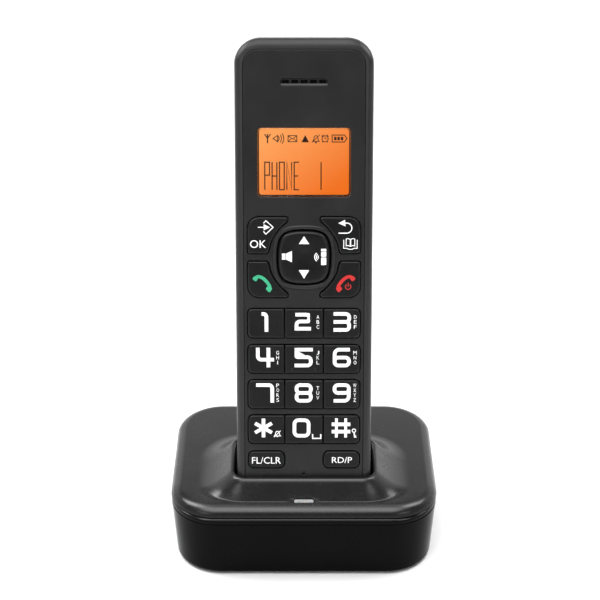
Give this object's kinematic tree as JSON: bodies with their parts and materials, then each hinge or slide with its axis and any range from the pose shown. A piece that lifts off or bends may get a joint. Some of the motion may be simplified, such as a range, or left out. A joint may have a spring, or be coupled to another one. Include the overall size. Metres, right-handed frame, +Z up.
{
  "type": "cordless phone with base",
  "caption": "Cordless phone handset with display and keypad standing in a low rounded-square charging base.",
  "frame": {"origin": "on the desk under the middle of the whole object, handset in its base", "axes": "+Z up, +X to the right as seen from the front, +Y towards the back, so the keypad and display face -Y"},
  "size_m": [0.0964, 0.0761, 0.1848],
  "materials": {
    "handset_shell": "fine moulded grain, charcoal black",
    "base_cover": "satin moulded charcoal black",
    "base_case": "polished black",
    "keycap": "satin black with white printed legends",
    "display_window": "clear hard-coated window over an orange backlight",
    "display_glass": "polished",
    "clear_diffuser": "milky clear",
    "rubber_foot": "matt",
    "silicone": "translucent grey, matt",
    "circuit_board": "green solder mask",
    "socket_plastic": "matt black",
    "dark_fabric": "fine woven dust mesh",
    "cell_sleeve": "printed shrink sleeve",
    "tinned_steel": "bright tin plate",
    "nickel": "nickel plate",
    "gold_contact": "gold flashed spring metal"
  },
  "bodies": {
    "base": {"base_top_cover": "base_cover", "base_bottom_case": "base_case", "base_foot_1": "rubber_foot", "base_foot_2": "rubber_foot", "base_foot_3": "rubber_foot", "base_foot_4": "rubber_foot", "base_pcb": "circuit_board", "base_shield_can": "tinned_steel", "base_light_guide": "clear_diffuser", "line_socket": "socket_plastic", "power_socket": "socket_plastic", "base_screw_1": "tinned_steel", "base_screw_2": "tinned_steel", "page_switch": "socket_plastic"},
    "charge_contact_left": {"charge_contact_left": "gold_contact"},
    "charge_contact_right": {"charge_contact_right": "gold_contact"},
    "page_button": {"page_button": "keycap"},
    "handset": {"handset_front_shell": "handset_shell", "handset_rear_shell": "handset_shell", "lcd_lens": "display_window", "lcd_module": "display_glass", "lcd_backlight": "clear_diffuser", "earpiece_mesh": "dark_fabric", "earpiece_speaker": "socket_plastic", "handset_pcb": "circuit_board", "handset_shield_can": "tinned_steel", "keypad_mat": "silicone", "microphone": "tinned_steel", "ringer_speaker": "socket_plastic", "battery_cell_1": "cell_sleeve", "battery_cell_2": "cell_sleeve", "battery_contact_strip": "nickel", "battery_terminal_plate": "nickel", "battery_spring_1": "nickel", "battery_spring_2": "nickel", "handset_charge_plate_left": "gold_contact", "handset_charge_plate_right": "gold_contact", "handset_screw_1": "tinned_steel", "handset_screw_2": "tinned_steel"},
    "battery_door": {"battery_door": "handset_shell"},
    "key_1": {"key_1": "keycap"},
    "key_2": {"key_2": "keycap"},
    "key_3": {"key_3": "keycap"},
    "key_4": {"key_4": "keycap"},
    "key_5": {"key_5": "keycap"},
    "key_6": {"key_6": "keycap"},
    "key_7": {"key_7": "keycap"},
    "key_8": {"key_8": "keycap"},
    "key_9": {"key_9": "keycap"},
    "key_star": {"key_star": "keycap"},
    "key_0": {"key_0": "keycap"},
    "key_hash": {"key_hash": "keycap"},
    "key_menu_ok": {"key_menu_ok": "keycap"},
    "key_back_book": {"key_back_book": "keycap"},
    "key_talk": {"key_talk": "keycap"},
    "key_end": {"key_end": "keycap"},
    "key_flash_clear": {"key_flash_clear": "keycap"},
    "key_redial_pause": {"key_redial_pause": "keycap"},
    "nav_pivot": {"nav_pivot": "silicone"},
    "nav_key": {"nav_key": "keycap"}
  },
  "joints": [
    {"name": "handset_lift", "type": "slide", "parent": "base", "child": "handset", "axis": [0, 0.2756, 0.9613], "range_m": [0, 0.05]},
    {"name": "charge_contact_left_press", "type": "slide", "parent": "base", "child": "charge_contact_left", "axis": [0, -0.2756, -0.9613], "range_m": [0, 0.0008], "stiffness_N_per_m": 400},
    {"name": "charge_contact_right_press", "type": "slide", "parent": "base", "child": "charge_contact_right", "axis": [0, -0.2756, -0.9613], "range_m": [0, 0.0008], "stiffness_N_per_m": 400},
    {"name": "page_button_press", "type": "slide", "parent": "base", "child": "page_button", "axis": [0, -1, 0], "range_m": [0, 0.0008], "stiffness_N_per_m": 600},
    {"name": "battery_door_slide", "type": "slide", "parent": "handset", "child": "battery_door", "axis": [0, -0.2756, -0.9613], "range_m": [0, 0.0075]},
    {"name": "key_1_press", "type": "slide", "parent": "handset", "child": "key_1", "axis": [0, 0.9613, -0.2756], "range_m": [0, 0.0008], "stiffness_N_per_m": 800},
    {"name": "key_2_press", "type": "slide", "parent": "handset", "child": "key_2", "axis": [0, 0.9613, -0.2756], "range_m": [0, 0.0008], "stiffness_N_per_m": 800},
    {"name": "key_3_press", "type": "slide", "parent": "handset", "child": "key_3", "axis": [0, 0.9613, -0.2756], "range_m": [0, 0.0008], "stiffness_N_per_m": 800},
    {"name": "key_4_press", "type": "slide", "parent": "handset", "child": "key_4", "axis": [0, 0.9613, -0.2756], "range_m": [0, 0.0008], "stiffness_N_per_m": 800},
    {"name": "key_5_press", "type": "slide", "parent": "handset", "child": "key_5", "axis": [0, 0.9613, -0.2756], "range_m": [0, 0.0008], "stiffness_N_per_m": 800},
    {"name": "key_6_press", "type": "slide", "parent": "handset", "child": "key_6", "axis": [0, 0.9613, -0.2756], "range_m": [0, 0.0008], "stiffness_N_per_m": 800},
    {"name": "key_7_press", "type": "slide", "parent": "handset", "child": "key_7", "axis": [0, 0.9613, -0.2756], "range_m": [0, 0.0008], "stiffness_N_per_m": 800},
    {"name": "key_8_press", "type": "slide", "parent": "handset", "child": "key_8", "axis": [0, 0.9613, -0.2756], "range_m": [0, 0.0008], "stiffness_N_per_m": 800},
    {"name": "key_9_press", "type": "slide", "parent": "handset", "child": "key_9", "axis": [0, 0.9613, -0.2756], "range_m": [0, 0.0008], "stiffness_N_per_m": 800},
    {"name": "key_star_press", "type": "slide", "parent": "handset", "child": "key_star", "axis": [0, 0.9613, -0.2756], "range_m": [0, 0.0008], "stiffness_N_per_m": 800},
    {"name": "key_0_press", "type": "slide", "parent": "handset", "child": "key_0", "axis": [0, 0.9613, -0.2756], "range_m": [0, 0.0008], "stiffness_N_per_m": 800},
    {"name": "key_hash_press", "type": "slide", "parent": "handset", "child": "key_hash", "axis": [0, 0.9613, -0.2756], "range_m": [0, 0.0008], "stiffness_N_per_m": 800},
    {"name": "key_menu_ok_press", "type": "slide", "parent": "handset", "child": "key_menu_ok", "axis": [0, 0.9613, -0.2756], "range_m": [0, 0.0008], "stiffness_N_per_m": 800},
    {"name": "key_back_book_press", "type": "slide", "parent": "handset", "child": "key_back_book", "axis": [0, 0.9613, -0.2756], "range_m": [0, 0.0008], "stiffness_N_per_m": 800},
    {"name": "key_talk_press", "type": "slide", "parent": "handset", "child": "key_talk", "axis": [0, 0.9613, -0.2756], "range_m": [0, 0.0008], "stiffness_N_per_m": 800},
    {"name": "key_end_press", "type": "slide", "parent": "handset", "child": "key_end", "axis": [0, 0.9613, -0.2756], "range_m": [0, 0.0008], "stiffness_N_per_m": 800},
    {"name": "key_flash_clear_press", "type": "slide", "parent": "handset", "child": "key_flash_clear", "axis": [0, 0.9613, -0.2756], "range_m": [0, 0.0008], "stiffness_N_per_m": 800},
    {"name": "key_redial_pause_press", "type": "slide", "parent": "handset", "child": "key_redial_pause", "axis": [0, 0.9613, -0.2756], "range_m": [0, 0.0008], "stiffness_N_per_m": 800},
    {"name": "nav_rock_up_down", "type": "hinge", "parent": "handset", "child": "nav_pivot", "pos_m": [0, -0.00119, 0.11178], "axis": [1, 0, 0], "range_deg": [-3, 3], "stiffness_Nm_per_rad": 0.3},
    {"name": "nav_rock_left_right", "type": "hinge", "parent": "nav_pivot", "child": "nav_key", "pos_m": [0, -0.00119, 0.11178], "axis": [0, 0.2756, 0.9613], "range_deg": [-3, 3], "stiffness_Nm_per_rad": 0.3}
  ]
}
